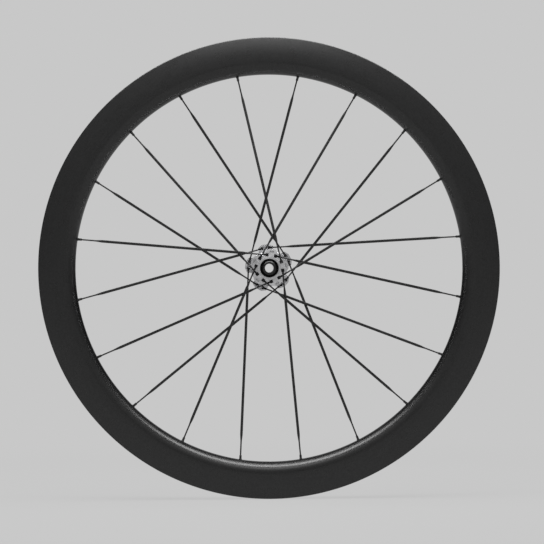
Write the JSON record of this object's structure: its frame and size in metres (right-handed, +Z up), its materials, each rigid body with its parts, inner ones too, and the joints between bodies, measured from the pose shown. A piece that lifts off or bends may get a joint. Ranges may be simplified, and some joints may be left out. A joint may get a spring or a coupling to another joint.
{
  "type": "bicycle wheel",
  "caption": "Front disc-brake road wheel with a deep hollow rim, bladed straight-pull spokes and a lugged hub turning on sealed bearings around a bored axle.",
  "frame": {"origin": "middle of the axle, in the middle plane of the rim", "axes": "+Y along the axle to the left (brake) side, +Z up, +X forward"},
  "size_m": [0.6329, 0.1, 0.633],
  "materials": {
    "carbon": "satin woven fibre laminate",
    "spoke_black": "satin black",
    "nipple_black": "black anodised",
    "hub_silver": "polished and clear anodised",
    "axle_grey": "turned",
    "cap_black": "black anodised",
    "bearing_steel": "ground",
    "cage_steel": "pressed",
    "seal_rubber": "matt"
  },
  "bodies": {
    "axle": {"axle": "axle_grey", "end_cap_right": "cap_black", "end_cap_left": "cap_black", "bearing_right_inner_ring": "bearing_steel", "bearing_left_inner_ring": "bearing_steel", "cap_ring_right": "seal_rubber", "cap_ring_left": "seal_rubber"},
    "wheel": {"rim": "carbon", "nipples": "nipple_black", "hub_shell": "hub_silver", "bearing_right_outer_ring": "bearing_steel", "bearing_left_outer_ring": "bearing_steel", "bearing_right_seals": "seal_rubber", "bearing_left_seals": "seal_rubber", "spoke_right_01": "spoke_black", "spoke_right_02": "spoke_black", "spoke_right_03": "spoke_black", "spoke_right_04": "spoke_black", "spoke_right_05": "spoke_black", "spoke_right_06": "spoke_black", "spoke_right_07": "spoke_black", "spoke_right_08": "spoke_black", "spoke_right_09": "spoke_black", "spoke_right_10": "spoke_black", "spoke_left_01": "spoke_black", "spoke_left_02": "spoke_black", "spoke_left_03": "spoke_black", "spoke_left_04": "spoke_black", "spoke_left_05": "spoke_black", "spoke_left_06": "spoke_black", "spoke_left_07": "spoke_black", "spoke_left_08": "spoke_black", "spoke_left_09": "spoke_black", "spoke_left_10": "spoke_black"},
    "balls_right": {"bearing_right_balls": "bearing_steel", "bearing_right_cage": "cage_steel"},
    "balls_left": {"bearing_left_balls": "bearing_steel", "bearing_left_cage": "cage_steel"}
  },
  "joints": [
    {"name": "wheel_spin", "type": "hinge", "parent": "axle", "child": "wheel", "pos_m": [0, 0, 0], "axis": [0, 1, 0], "continuous": true},
    {"name": "balls_right_roll", "type": "hinge", "parent": "axle", "child": "balls_right", "pos_m": [0, -0.0375, 0], "axis": [0, 1, 0], "continuous": true},
    {"name": "balls_left_roll", "type": "hinge", "parent": "axle", "child": "balls_left", "pos_m": [0, 0.033, 0], "axis": [0, 1, 0], "continuous": true}
  ],
  "couplings": [
    {"joint": "balls_right_roll", "follows": "wheel_spin", "ratio": 0.5548},
    {"joint": "balls_left_roll", "follows": "wheel_spin", "ratio": 0.5548}
  ]
}
